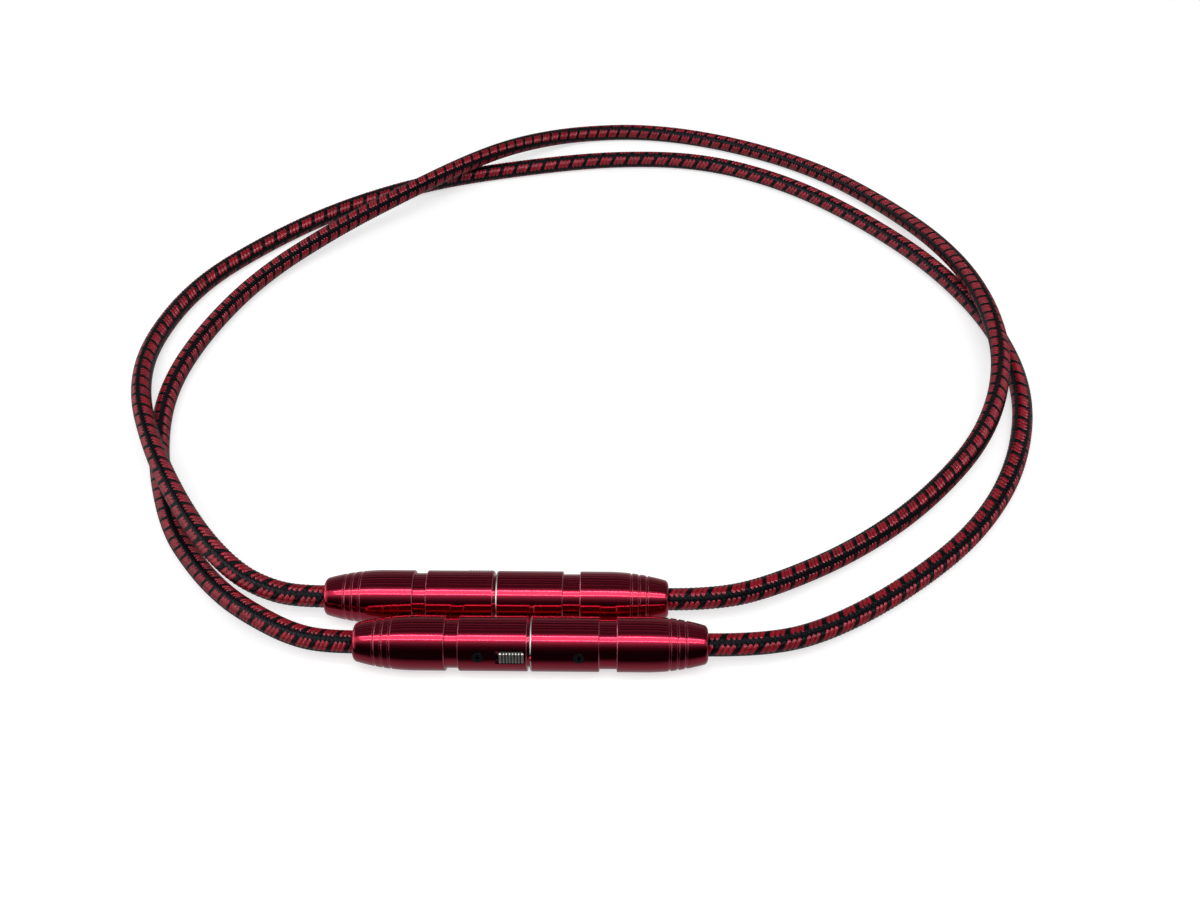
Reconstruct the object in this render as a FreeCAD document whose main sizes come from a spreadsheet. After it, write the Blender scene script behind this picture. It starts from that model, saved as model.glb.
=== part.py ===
"""A pair of balanced audio cables with three-pin plugs, joined end to end in a closed double loop.

Cable one runs from the front female plug round the loop to the back male plug, and cable two from
the back female plug to the front male plug. X runs along the plugs, Y away from the viewer, Z up.
The origin is on the floor under the middle of the two plugged pairs. All sizes are in millimetres.
"""
import FreeCAD, Part
import math
import os
import Sketcher

# Driving dimensions: name, number, what it is
SIZES = [
    ("barrel_diameter", 19.0, "outside of every shell and tail"),
    ("plug_length", 60.45, "from the seam between a mated pair to a plug's cable end"),
    ("pair_gap", 1.4, "between the barrels of the two pairs"),
    ("pair_stagger", 13.0, "between the two seams, along the plugs"),
    ("latch_elevation", 19.0, "degrees above level that a latch faces, outwards"),
    ("edge_chamfer", 0.3, "on the shells' and tails' edges"),
    ("fit_clearance", 0.05, "radial, between parts that fit in each other"),
    ("shoulder_gap", 0.8, "between the female shoulder and the male rim"),
    ("rim_bevel", 0.67, "bare bevel round the male rim"),
    ("rim_notch", 2.4, "width of the mark in the rim in line with the latch"),
    ("female_barrel_length", 22.6, "full-diameter stretch of the female shell"),
    ("female_waist_width", 4.2, "turned-down waist behind it"),
    ("male_barrel_length", 23.55, "full-diameter stretch of the male shell"),
    ("male_waist_width", 5.85, "turned-down waist behind it"),
    ("waist_depth", 1.0, "of both waists under the barrel"),
    ("tail_wall", 1.5, "round the spigot of the shell that screws into it"),
    ("spigot_length", 8.4, ""),
    ("spigot_wall", 1.8, ""),
    ("nose_play", 0.15, "radial, of the female nose in the male shell"),
    ("nose_length", 14.2, "from the shoulder to its tip"),
    ("nose_wall", 1.0, ""),
    ("male_wall", 1.4, ""),
    ("insert_depth", 22.0, "from the seam to the back of both inserts"),
    ("female_insert_recess", 0.5, "of its face behind the nose's tip"),
    ("insert_gap", 1.2, "from the nose's tip to the face that holds the pins"),
    ("contact_wall", 0.85, "from a socket to the wall round its insert"),
    ("cup_reach", 4.0, "of the solder cups behind the inserts"),
    ("pin_diameter", 2.4, ""),
    ("pin_length", 11.8, "standing out of the male insert"),
    ("pin_point", 0.6, "chamfer at a pin's tip"),
    ("cup_diameter", 2.9, "solder cup of a pin"),
    ("cup_bore", 1.5, ""),
    ("cup_depth", 3.0, ""),
    ("socket_diameter", 3.4, ""),
    ("socket_depth", 12.5, "bore that takes a pin"),
    ("socket_recess", 0.9, "of the sockets behind the female insert's face"),
    ("key_width", 2.4, "tongue on the male insert"),
    ("key_length", 4.2, ""),
    ("key_height", 1.3, ""),
    ("key_gap", 0.3, "between the tongue and the wall over it"),
    ("key_play", 0.4, "each side of the tongue in the nose's slot"),
    ("slot_start", 1.7, "from the seam to the latch's slot"),
    ("slot_play", 1.6, "of the slot's length over the button's"),
    ("button_length", 8.2, ""),
    ("button_width", 4.6, ""),
    ("button_play", 0.2, "each side of the button in its slot"),
    ("button_rise", 0.35, "of its ribs above the barrel"),
    ("button_travel", 0.9, ""),
    ("button_bevel", 0.7, "along both sides of its top"),
    ("rib_count", 8, "across the button"),
    ("rib_gap", 0.45, ""),
    ("rib_depth", 0.4, ""),
    ("flange_side", 0.6, "each side of the button, keeps it in its slot"),
    ("flange_height", 0.4, ""),
    ("flange_reach", 0.6, "past the button at both ends"),
    ("channel_depth", 2.65, "of the leaf's channel in the female insert"),
    ("channel_back", 14.0, "from the seam to the channel's end"),
    ("leaf_width", 4.0, ""),
    ("leaf_thickness", 0.45, ""),
    ("leaf_drop", 1.75, "from the nose's bore to the leaf's underside"),
    ("leaf_foot", 3.0, "flat stretch that lies on the channel's floor"),
    ("tooth_start", 5.0, "from the seam to the tooth's steep face"),
    ("tooth_length", 2.9, ""),
    ("tooth_land", 1.2, "flat top of the tooth"),
    ("tooth_bite", 0.65, "of the tooth into the male shell's wall"),
    ("tooth_play", 0.3, "round the tooth in its window and its pocket"),
    ("female_screw_place", 17.4, "from the seam"),
    ("male_screw_place", 16.7, "from the seam"),
    ("screw_head", 3.8, "diameter"),
    ("screw_head_height", 0.9, ""),
    ("screw_shank", 2.2, "diameter"),
    ("screw_sink", 0.15, "of the head under the barrel's surface"),
    ("screw_reach", 2.2, "into an insert"),
    ("recess_width", 0.5, "arms of the cross recess"),
    ("recess_span", 2.3, ""),
    ("recess_depth", 0.5, ""),
    ("taper_length", 21.45, "from the cable end to where a tail starts to narrow"),
    ("tail_end_wall", 2.12, "round the cable where the tail's long curve ends"),
    ("tail_round", 1.8, "round edge at the cable end"),
    ("ring_place", 7.55, "from the cable end to the nearest grip ring"),
    ("ring_pitch", 2.75, ""),
    ("ring_count", 3, ""),
    ("ring_width", 0.8, ""),
    ("ring_depth", 0.33, ""),
    ("exit_play", 0.1, "round the cable where it leaves a tail"),
    ("exit_length", 6.5, ""),
    ("chamber_step", 1.3, "from the spigot in to the collet's chamber"),
    ("collet_land", 5.55, "collet's stretch in front of its cone"),
    ("collet_back", 9.5, "from the cable end"),
    ("collet_gap", 0.35, "between the collet and the male spigot"),
    ("collet_slits", 3, ""),
    ("slit_width", 0.8, ""),
    ("collet_ring", 4.5, "collet's stretch in front of the slits"),
    ("cable_diameter", 8.3, "braided jacket of both cables"),
    ("jacket_reach", 1.0, "of the jacket past the collet"),
    ("lead_diameter", 1.4, "insulated leads inside a plug"),
    ("lead_circle", 3.6, "where the leads leave the jacket"),
    ("end_gap", 0.1, "between a lead and what it meets"),
]

doc = FreeCAD.newDocument("AudioCables")
sheet = doc.addObject("Spreadsheet::Sheet", "Sizes")
for row, (alias, number, note) in enumerate(SIZES, start=1):
    sheet.set("A%d" % row, str(number))
    sheet.setAlias("A%d" % row, alias)
    sheet.set("B%d" % row, note)
doc.recompute()


class Size:
    """A length with its number and with its formula in terms of the sheet's cells."""

    def __init__(self, number, formula):
        self.number = number
        self.formula = formula

    def combine(self, other, sign, number):
        return Size(number, "(%s %s %s)" % (self.formula, sign, formula_of(other)))

    def __add__(self, other):
        return self.combine(other, "+", self.number + number_of(other))

    def __sub__(self, other):
        return self.combine(other, "-", self.number - number_of(other))

    def __mul__(self, other):
        return self.combine(other, "*", self.number * number_of(other))

    def __truediv__(self, other):
        return self.combine(other, "/", self.number / number_of(other))

    def root(self):
        return Size(math.sqrt(self.number), "sqrt(%s)" % self.formula)


def number_of(size):
    return size.number if isinstance(size, Size) else float(size)


def formula_of(size):
    return size.formula if isinstance(size, Size) else repr(float(size))


def size(alias):
    return Size(float(sheet.get(alias)), "Sizes.%s" % alias)


def bind(thing, **sizes):
    """Bind properties of a document object to sizes."""
    for name, value in sizes.items():
        thing.setExpression(name, formula_of(value))


def bind_place(thing, path, x, y, z):
    for axis, value in zip("xyz", (x, y, z)):
        thing.setExpression("%s.Base.%s" % (path, axis), formula_of(value))


ZERO = Size(0.0, "0")
LENGTH = size("plug_length")
BARREL = size("barrel_diameter") / 2
CHAMFER = size("edge_chamfer")
CLEAR = size("fit_clearance")
WAIST = BARREL - size("waist_depth")
SPIGOT = BARREL - size("tail_wall")
SPIGOT_BORE = SPIGOT - size("spigot_wall")
CHAMBER = SPIGOT - size("chamber_step")
MALE_BORE = BARREL - size("male_wall")
NOSE = MALE_BORE - size("nose_play")
NOSE_BORE = NOSE - size("nose_wall")
CONTACTS = NOSE_BORE - size("contact_wall") - size("socket_diameter") / 2
CABLE = size("cable_diameter") / 2
EXIT = CABLE + size("exit_play")
BUTTON = size("button_width") / 2
FLANGE = BUTTON + size("flange_side")
CHANNEL_FLOOR = NOSE_BORE - size("channel_depth")
LEAF_RISE = NOSE_BORE - size("leaf_drop")
TOOTH_TOP = MALE_BORE + size("tooth_bite")
KEY_RISE = MALE_BORE - size("key_gap") - size("key_height")

# Stations along a plug, from its cable end towards its mate
SHOULDER = LENGTH - size("shoulder_gap")
NOSE_TIP = SHOULDER + size("nose_length")
SEAT = LENGTH - size("insert_depth")
FEMALE_FACE = NOSE_TIP - size("female_insert_recess")
FACE_DEPTH = size("nose_length") - size("shoulder_gap") + size("insert_gap")
MALE_FACE = LENGTH - FACE_DEPTH
CONTACT_BACK = SEAT - size("cup_reach")
TAPER = size("taper_length")
TOOTH = LENGTH + size("tooth_start")
FEMALE_WAIST = SHOULDER - size("female_barrel_length")
MALE_WAIST = LENGTH - size("male_barrel_length")
TAIL_FRONT = {
    "female": FEMALE_WAIST - size("female_waist_width"),
    "male": MALE_WAIST - size("male_waist_width"),
}
COLLET_FRONT = TAIL_FRONT["male"] - size("spigot_length") - CHAMFER - size("collet_gap")
CONE_END = COLLET_FRONT - size("collet_land")
JACKET_END = COLLET_FRONT + size("jacket_reach")

# The long curve of a tail narrows from the barrel to the wall round the cable
NARROWING = BARREL - EXIT - size("tail_end_wall")
CURVE = (TAPER * TAPER + NARROWING * NARROWING) / (NARROWING * 2)


def new_body(name):
    body = doc.addObject("PartDesign::Body", name)
    body.Label = name
    return body


def plane(body, role):
    return [item for item in body.Origin.OriginFeatures if item.Role == role][0]


def attach(body, sketch, role):
    sketch.AttachmentSupport = (plane(body, role), [""])
    sketch.MapMode = "FlatFace"


def hold(sketch, line, end, number, place):
    """Hold one end of a line at a bound place, on an axis where it is zero."""
    for kind, axis, value in (("DistanceX", -2, place[0]), ("DistanceY", -1, place[1])):
        if number_of(value) == 0.0:
            sketch.addConstraint(Sketcher.Constraint("PointOnObject", line, end, axis))
            continue
        index = sketch.addConstraint(
            Sketcher.Constraint(kind, -1, 1, line, end, number_of(value)))
        label = "%s%d" % (kind[-1].lower(), number)
        sketch.renameConstraint(index, label)
        sketch.setExpression("Constraints.%s" % label, formula_of(value))


def outline(sketch, corners):
    """Draw a closed outline; a corner with a third value starts an arc of that radius."""
    places = [FreeCAD.Vector(number_of(c[0]), number_of(c[1]), 0) for c in corners]
    count = len(corners)
    for index, place in enumerate(places):
        after = places[(index + 1) % count]
        if len(corners[index]) == 3:
            radius = number_of(corners[index][2])
            half = (after - place) / 2
            rise = radius - math.sqrt(radius ** 2 - half.Length ** 2)
            outward = FreeCAD.Vector(-half.y, half.x, 0).normalize() * rise
            sketch.addGeometry(Part.Arc(place, place + half + outward, after))
        else:
            sketch.addGeometry(Part.LineSegment(place, after))
    for index, place in enumerate(corners):
        after = (index + 1) % count
        # an arc over the top runs clockwise, so it is stored from its far end to its near end
        last = 1 if len(place) == 3 else 2
        start = 2 if len(corners[after]) == 3 else 1
        sketch.addConstraint(Sketcher.Constraint("Coincident", index, last, after, start))
        if len(place) == 3:
            held = sketch.addConstraint(Sketcher.Constraint("Radius", index, number_of(place[2])))
            sketch.renameConstraint(held, "radius%d" % index)
            sketch.setExpression("Constraints.radius%d" % index, formula_of(place[2]))
            hold(sketch, (index - 1) % count, 2, index, place)
        else:
            hold(sketch, index, 1, index, place)


def turned(name, corners, offset=None):
    """A body turned about X from an outline of (along, radius) corners."""
    body = new_body(name)
    sketch = body.newObject("Sketcher::SketchObject", name + "_profile")
    attach(body, sketch, "XZ_Plane")
    outline(sketch, corners)
    if offset is not None:
        bind_place(sketch, "AttachmentOffset", ZERO, offset, ZERO)
    turn = body.newObject("PartDesign::Revolution", name + "_turn")
    turn.Profile = sketch
    turn.ReferenceAxis = (sketch, ["H_Axis"])
    turn.Angle = 360.0
    sketch.Visibility = False
    return body


def block(body, name, low, span, cut=True):
    """Cut or add a block by its low corner and its span along x, y and z."""
    kind = "PartDesign::SubtractiveBox" if cut else "PartDesign::AdditiveBox"
    box = body.newObject(kind, name)
    bind(box, Length=span[0], Width=span[1], Height=span[2])
    bind_place(box, "Placement", *low)
    return box


def bore(body, name, radius, start, length, height):
    """Cut a round hole along X, at a height over the axis."""
    hole = body.newObject("PartDesign::SubtractiveCylinder", name)
    bind(hole, Radius=radius, Height=length)
    hole.Placement = FreeCAD.Placement(FreeCAD.Vector(), FreeCAD.Rotation(FreeCAD.Vector(0, 1, 0), 90))
    bind_place(hole, "Placement", start, ZERO, height)
    return hole


def polar(body, feature, count=3):
    """Repeat a feature round the plug's axis."""
    pattern = body.newObject("PartDesign::PolarPattern", feature.Name + "_round")
    pattern.Originals = [feature]
    axis = [item for item in body.Origin.OriginFeatures if item.Role == "X_Axis"][0]
    pattern.Axis = (axis, [""])
    pattern.Angle = 360.0
    pattern.Occurrences = int(number_of(count))
    if isinstance(count, Size):
        bind(pattern, Occurrences=count)
    body.Tip = pattern
    return pattern


def female_shell(name):
    body = turned(name, [
        (TAIL_FRONT["female"] - size("spigot_length"), SPIGOT_BORE),
        (TAIL_FRONT["female"] - size("spigot_length"), SPIGOT),
        (TAIL_FRONT["female"], SPIGOT),
        (TAIL_FRONT["female"], WAIST),
        (FEMALE_WAIST, WAIST),
        (FEMALE_WAIST, BARREL - CHAMFER),
        (FEMALE_WAIST + CHAMFER, BARREL),
        (SHOULDER - CHAMFER, BARREL),
        (SHOULDER, BARREL - CHAMFER),
        (SHOULDER, NOSE),
        (NOSE_TIP - CHAMFER, NOSE),
        (NOSE_TIP, NOSE - CHAMFER),
        (NOSE_TIP, NOSE_BORE),
        (SEAT, NOSE_BORE),
        (SEAT, SPIGOT_BORE),
    ])
    half = BUTTON + size("button_play")
    length = size("button_length") + size("slot_play")
    block(body, name + "_latch_slot", (LENGTH - size("slot_start") - length, ZERO - half, ZERO),
          (length, half * 2, BARREL * 2))
    play = size("tooth_play")
    window = size("leaf_width") + play * 2
    block(body, name + "_tooth_window", (TOOTH - play, ZERO - window / 2, ZERO),
          (size("tooth_length") + play * 2, window, BARREL * 2))
    key_slot(body, name, ZERO)
    screw_seat(body, name, size("female_screw_place"))
    return body


def key_slot(body, name, floor):
    """The slot for the male tongue, open at the nose's tip."""
    width = size("key_width") + size("key_play") * 2
    start = LENGTH + FACE_DEPTH - size("key_length") - size("key_play") * 2
    block(body, name + "_key_slot", (start, ZERO - width / 2, floor),
          (NOSE_TIP - start + 1, width, BARREL * 2))


def screw_seat(body, name, place):
    """The seat and the hole of the radial set screw."""
    head = size("screw_head") / 2 + CLEAR
    sink = size("screw_sink") + size("screw_head_height")
    seat = body.newObject("PartDesign::SubtractiveCylinder", name + "_screw_seat")
    bind(seat, Radius=head, Height=BARREL)
    bind_place(seat, "Placement", LENGTH - place, ZERO, BARREL - sink)
    hole = body.newObject("PartDesign::SubtractiveCylinder", name + "_screw_hole")
    bind(hole, Radius=size("screw_shank") / 2 + CLEAR, Height=BARREL * 2)
    bind_place(hole, "Placement", LENGTH - place, ZERO, ZERO)


def male_shell(name):
    body = turned(name, [
        (TAIL_FRONT["male"] - size("spigot_length"), SPIGOT_BORE),
        (TAIL_FRONT["male"] - size("spigot_length"), SPIGOT),
        (TAIL_FRONT["male"], SPIGOT),
        (TAIL_FRONT["male"], WAIST),
        (MALE_WAIST, WAIST),
        (MALE_WAIST, BARREL - CHAMFER),
        (MALE_WAIST + CHAMFER, BARREL),
        (LENGTH - size("rim_bevel"), BARREL),
        (LENGTH, BARREL - size("rim_bevel")),
        (LENGTH, MALE_BORE),
        (SEAT, MALE_BORE),
        (SEAT, SPIGOT_BORE),
    ])
    play = size("tooth_play")
    width = size("leaf_width") + play * 2
    block(body, name + "_tooth_pocket",
          (LENGTH - size("tooth_start") - size("tooth_length") - play, ZERO - width / 2, ZERO),
          (size("tooth_length") + play * 2, width, TOOTH_TOP + play))
    notch = size("rim_notch")
    block(body, name + "_rim_notch", (LENGTH - size("rim_bevel"), ZERO - notch / 2, ZERO),
          (size("rim_bevel") * 2, notch, BARREL * 2))
    screw_seat(body, name, size("male_screw_place"))
    return body


def tail_radius(along):
    """Outside radius of a tail's long curve at a place along it."""
    reach = TAPER - along
    return BARREL - CURVE + (CURVE * CURVE - reach * reach).root()


def tail(name, kind):
    front = TAIL_FRONT[kind]
    sleeve = SPIGOT + CLEAR
    stop = front - size("spigot_length") - CHAMFER
    # the round end meets the long curve where both have the same slope
    slope = TAPER / CURVE
    along = size("tail_round") * (ZERO + 1 - slope)
    rise = size("tail_round") * (ZERO + 1 - slope * slope).root()
    corners = [(ZERO, EXIT), (ZERO, tail_radius(along) - rise, size("tail_round"))]
    for index in range(int(number_of(size("ring_count")))):
        ring = size("ring_place") + size("ring_pitch") * index - size("ring_width") / 2
        after = ring + size("ring_width")
        corners += [
            (along, tail_radius(along)),
            (ring, tail_radius(ring)),
            (ring, tail_radius(ring) - size("ring_depth")),
            (after, tail_radius(after) - size("ring_depth")),
        ]
        along = after
    return turned(name, corners + [
        (along, tail_radius(along), CURVE),
        (TAPER, BARREL),
        (front - CHAMFER, BARREL),
        (front, BARREL - CHAMFER),
        (front, sleeve),
        (stop, sleeve),
        (stop, CHAMBER),
        (CONE_END, CHAMBER),
        (size("exit_length"), EXIT),
    ])


def insert_block(name, back, face, radius):
    return turned(name, [
        (back, ZERO),
        (back, radius),
        (face - CHAMFER, radius),
        (face, radius - CHAMFER),
        (face, ZERO),
    ])


def female_insert(name):
    body = insert_block(name, SEAT, FEMALE_FACE, NOSE_BORE - CLEAR)
    half = FLANGE + CLEAR * 2
    start = LENGTH - size("channel_back")
    end = TOOTH + size("tooth_length") + size("tooth_play")
    block(body, name + "_channel", (start, ZERO - half, CHANNEL_FLOOR),
          (end - start, half * 2, BARREL))
    key_slot(body, name, KEY_RISE - size("key_play"))
    screw_well(body, name, size("female_screw_place"), NOSE_BORE)
    polar(body, bore(body, name + "_contact_hole", size("socket_diameter") / 2 + CLEAR, SEAT - 1,
                     FEMALE_FACE - size("socket_recess") + size("end_gap") - SEAT + 1,
                     ZERO - CONTACTS))
    polar(body, bore(body, name + "_pin_hole", size("pin_diameter") / 2 + CLEAR * 2, SEAT,
                     NOSE_TIP - SEAT, ZERO - CONTACTS))
    return body


def screw_well(body, name, place, wall):
    """The hole in an insert that its set screw reaches into."""
    reach = size("screw_reach") + size("end_gap")
    hole = body.newObject("PartDesign::SubtractiveCylinder", name + "_screw_well")
    bind(hole, Radius=size("screw_shank") / 2 + CLEAR, Height=reach * 2)
    bind_place(hole, "Placement", LENGTH - place, ZERO, wall - reach)


def male_insert(name):
    body = insert_block(name, SEAT, MALE_FACE, MALE_BORE - CLEAR)
    width = size("key_width")
    block(body, name + "_key", (MALE_FACE - 1, ZERO - width / 2, KEY_RISE),
          (size("key_length") + 1, width, size("key_height")), cut=False)
    screw_well(body, name, size("male_screw_place"), MALE_BORE)
    polar(body, bore(body, name + "_pin_hole", size("pin_diameter") / 2 + CLEAR, SEAT - 1,
                     MALE_FACE - SEAT + 2, ZERO - CONTACTS))
    return body


def sockets(name):
    radius = size("socket_diameter") / 2
    front = FEMALE_FACE - size("socket_recess")
    pin_bore = size("pin_diameter") / 2 + CLEAR
    body = turned(name, [
        (CONTACT_BACK, size("cup_bore") / 2),
        (CONTACT_BACK, radius),
        (front, radius),
        (front, pin_bore),
        (front - size("socket_depth"), pin_bore),
        (front - size("socket_depth"), ZERO),
        (CONTACT_BACK + size("cup_depth"), ZERO),
        (CONTACT_BACK + size("cup_depth"), size("cup_bore") / 2),
    ], offset=ZERO - CONTACTS)
    polar(body, body.Tip)
    return body


def pins(name):
    radius = size("pin_diameter") / 2
    tip = MALE_FACE + size("pin_length")
    body = turned(name, [
        (CONTACT_BACK, size("cup_bore") / 2),
        (CONTACT_BACK, size("cup_diameter") / 2),
        (SEAT - size("end_gap"), size("cup_diameter") / 2),
        (SEAT - size("end_gap"), radius),
        (tip - size("pin_point"), radius),
        (tip, radius - size("pin_point")),
        (tip, ZERO),
        (CONTACT_BACK + size("cup_depth"), ZERO),
        (CONTACT_BACK + size("cup_depth"), size("cup_bore") / 2),
    ], offset=ZERO - CONTACTS)
    polar(body, body.Tip)
    return body


def flat_profile(name, corners, width):
    """A body padded evenly to both sides of the XZ plane."""
    body = new_body(name)
    sketch = body.newObject("Sketcher::SketchObject", name + "_profile")
    attach(body, sketch, "XZ_Plane")
    outline(sketch, corners)
    pad = body.newObject("PartDesign::Pad", name + "_pad")
    pad.Profile = sketch
    pad.SideType = "Symmetric"
    bind(pad, Length=width)
    return body


def latch_spring(name):
    """The leaf that lifts the button, with the tooth that locks the male shell."""
    thick = size("leaf_thickness")
    floor = CHANNEL_FLOOR + CLEAR
    rise = LEAF_RISE
    back = LENGTH - size("channel_back") + CLEAR * 4
    foot = back + size("leaf_foot")
    ramp = foot + size("leaf_foot")
    tip = TOOTH + size("tooth_length")
    return flat_profile(name, [
        (back, floor),
        (foot, floor),
        (ramp, rise),
        (tip, rise),
        (tip, rise + thick),
        (TOOTH + size("tooth_land"), TOOTH_TOP),
        (TOOTH, TOOTH_TOP),
        (TOOTH, rise + thick),
        (ramp, rise + thick),
        (foot, floor + thick),
        (back, floor + thick),
    ], size("leaf_width"))


def latch_button(name):
    """The push button in the slot, ribbed on top, with a foot under the shell's wall."""
    end = LENGTH - size("slot_start") - CLEAR * 3
    start = end - size("button_length")
    low = LEAF_RISE + size("leaf_thickness") + CLEAR * 2
    top = BARREL + size("button_rise")
    bevel = size("button_bevel")
    body = new_body(name)
    sketch = body.newObject("Sketcher::SketchObject", name + "_section")
    attach(body, sketch, "YZ_Plane")
    outline(sketch, [(ZERO - BUTTON, low), (BUTTON, low), (BUTTON, top - bevel),
                     (BUTTON - bevel, top), (ZERO - BUTTON + bevel, top),
                     (ZERO - BUTTON, top - bevel)])
    bind_place(sketch, "AttachmentOffset", ZERO, ZERO, start)
    pad = body.newObject("PartDesign::Pad", name + "_pad")
    pad.Profile = sketch
    bind(pad, Length=size("button_length"))
    reach = size("flange_reach")
    block(body, name + "_foot", (start - reach, ZERO - FLANGE, low),
          (size("button_length") + reach * 2, FLANGE * 2, size("flange_height")), cut=False)
    ribs = size("rib_count")
    pitch = size("button_length") / ribs
    gap = block(body, name + "_rib_gap",
                (start + pitch - size("rib_gap") / 2, ZERO - BUTTON - 1, top - size("rib_depth")),
                (size("rib_gap"), BUTTON * 2 + 2, BARREL))
    row = body.newObject("PartDesign::LinearPattern", name + "_rib_gaps")
    row.Originals = [gap]
    axis = [item for item in body.Origin.OriginFeatures if item.Role == "X_Axis"][0]
    row.Direction = (axis, [""])
    row.Mode = "Spacing"
    row.Occurrences = int(number_of(ribs)) - 1
    bind(row, Occurrences=ribs - 1, Offset=pitch)
    body.Tip = row
    return body


def set_screw(name, place, wall):
    """A radial screw with a cross recess; its shank ends inside the insert."""
    head = size("screw_head") / 2
    top = BARREL - size("screw_sink")
    under = top - size("screw_head_height")
    tip = wall - size("screw_reach")
    shank = size("screw_shank") / 2
    body = new_body(name)
    sketch = body.newObject("Sketcher::SketchObject", name + "_profile")
    attach(body, sketch, "XZ_Plane")
    outline(sketch, [(ZERO, tip), (shank, tip), (shank, under), (head, under), (head, top),
                     (ZERO, top)])
    bind_place(sketch, "AttachmentOffset", LENGTH - place, ZERO, ZERO)
    turn = body.newObject("PartDesign::Revolution", name + "_turn")
    turn.Profile = sketch
    turn.ReferenceAxis = (sketch, ["V_Axis"])
    turn.Angle = 360.0
    span, wide, deep = size("recess_span"), size("recess_width"), size("recess_depth")
    block(body, name + "_recess_along", (LENGTH - place - span / 2, ZERO - wide / 2, top - deep),
          (span, wide, deep * 2))
    block(body, name + "_recess_across", (LENGTH - place - wide / 2, ZERO - span / 2, top - deep),
          (wide, span, deep * 2))
    return body


def collet(name):
    """The split cone that grips the jacket inside a tail."""
    start = size("collet_back")
    slope = (CHAMBER - EXIT) / (CONE_END - size("exit_length"))
    thin = EXIT + slope * (start - size("exit_length")) - CLEAR * 2
    inside = CABLE + CLEAR
    body = turned(name, [
        (start, inside),
        (start, thin),
        (CONE_END, CHAMBER - CLEAR * 2),
        (COLLET_FRONT, CHAMBER - CLEAR * 2),
        (COLLET_FRONT, inside),
    ])
    slit = block(body, name + "_slit", (start - 1, ZERO - size("slit_width") / 2, ZERO),
                 (COLLET_FRONT - size("collet_ring") - start + 1, size("slit_width"), BARREL))
    polar(body, slit, size("collet_slits"))
    return body


def cable_end(name):
    """The jacket's end inside a plug."""
    return turned(name, [(ZERO, ZERO), (ZERO, CABLE), (JACKET_END, CABLE), (JACKET_END, ZERO)])


def leads(name):
    """Three insulated leads from the jacket's end to the solder cups."""
    start = JACKET_END + size("end_gap")
    end = CONTACT_BACK - size("end_gap")
    inner = size("lead_circle") / 2
    radius = size("lead_diameter") / 2
    spread = number_of(CONTACTS - inner)
    run = number_of(end - start)
    slant = math.degrees(math.atan2(spread, run))
    trim = radius * (spread / run)
    body = new_body(name)
    lead = body.newObject("PartDesign::AdditiveCylinder", name + "_lead")
    bind(lead, Radius=radius)
    lead.Height = math.hypot(spread, run) - 2 * number_of(trim)
    lead.Placement = FreeCAD.Placement(
        FreeCAD.Vector(number_of(start + trim), 0, -number_of(inner)),
        FreeCAD.Rotation(FreeCAD.Vector(0, 1, 0), 90 + slant))
    polar(body, lead)
    return body


# The cords' routes: points chosen against the photograph, between the ends that the plugs give
CABLE_ONE_ROUTE = [
    (-64.1, -10.2, 9.5), (-75.8, -7.6, 10.1), (-89.2, -0.7, 11), (-103.6, 11.4, 7.7),
    (-118.2, 27.7, 5.2), (-134, 49.6, 4.15), (-149.5, 90, 4.15), (-155.5, 130, 4.15),
    (-149, 170, 4.15), (-132.5, 213, 4.15), (-102, 246, 9), (-71.5, 270.5, 13.8),
    (-40.5, 302.5, 13.8), (-16.5, 327, 10), (12, 348, 4.15), (52, 351, 4.15),
    (96, 338, 4.15), (139.5, 311.5, 4.15), (171, 273.5, 5), (190.5, 227.5, 11.2),
    (199.5, 185, 14), (199, 141, 13.6), (185, 101.5, 8), (156.5, 67, 4.15),
    (125, 39.5, 4.6), (92, 18.2, 8), (70.7, 10.2, 9.5),
]
CABLE_TWO_ROUTE = [
    (-77.2, 10.2, 9.5), (-88, 12.5, 10.4), (-99.9, 18.1, 12.3), (-113.9, 30.8, 15.4),
    (-129.7, 53.2, 13.7), (-146.7, 81.9, 13.8), (-164, 121, 10.5), (-171, 163, 4.15),
    (-160.5, 205.5, 4.15), (-135.5, 240.5, 4.15), (-104, 272, 4.15), (-63.5, 297, 4.15),
    (-16, 312, 4.15), (33, 322, 4.15), (80, 320, 4.15), (121, 299, 4.15),
    (154.5, 266.5, 4.15), (184, 226, 4.15), (203, 180.5, 4.15), (207.5, 133, 4.15),
    (195, 87, 4.15), (172, 49.7, 4.15), (140, 20.5, 4.15), (109, -0.8, 6),
    (85.7, -10.2, 9.5),
]
ARC_SHARE = 0.45


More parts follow.
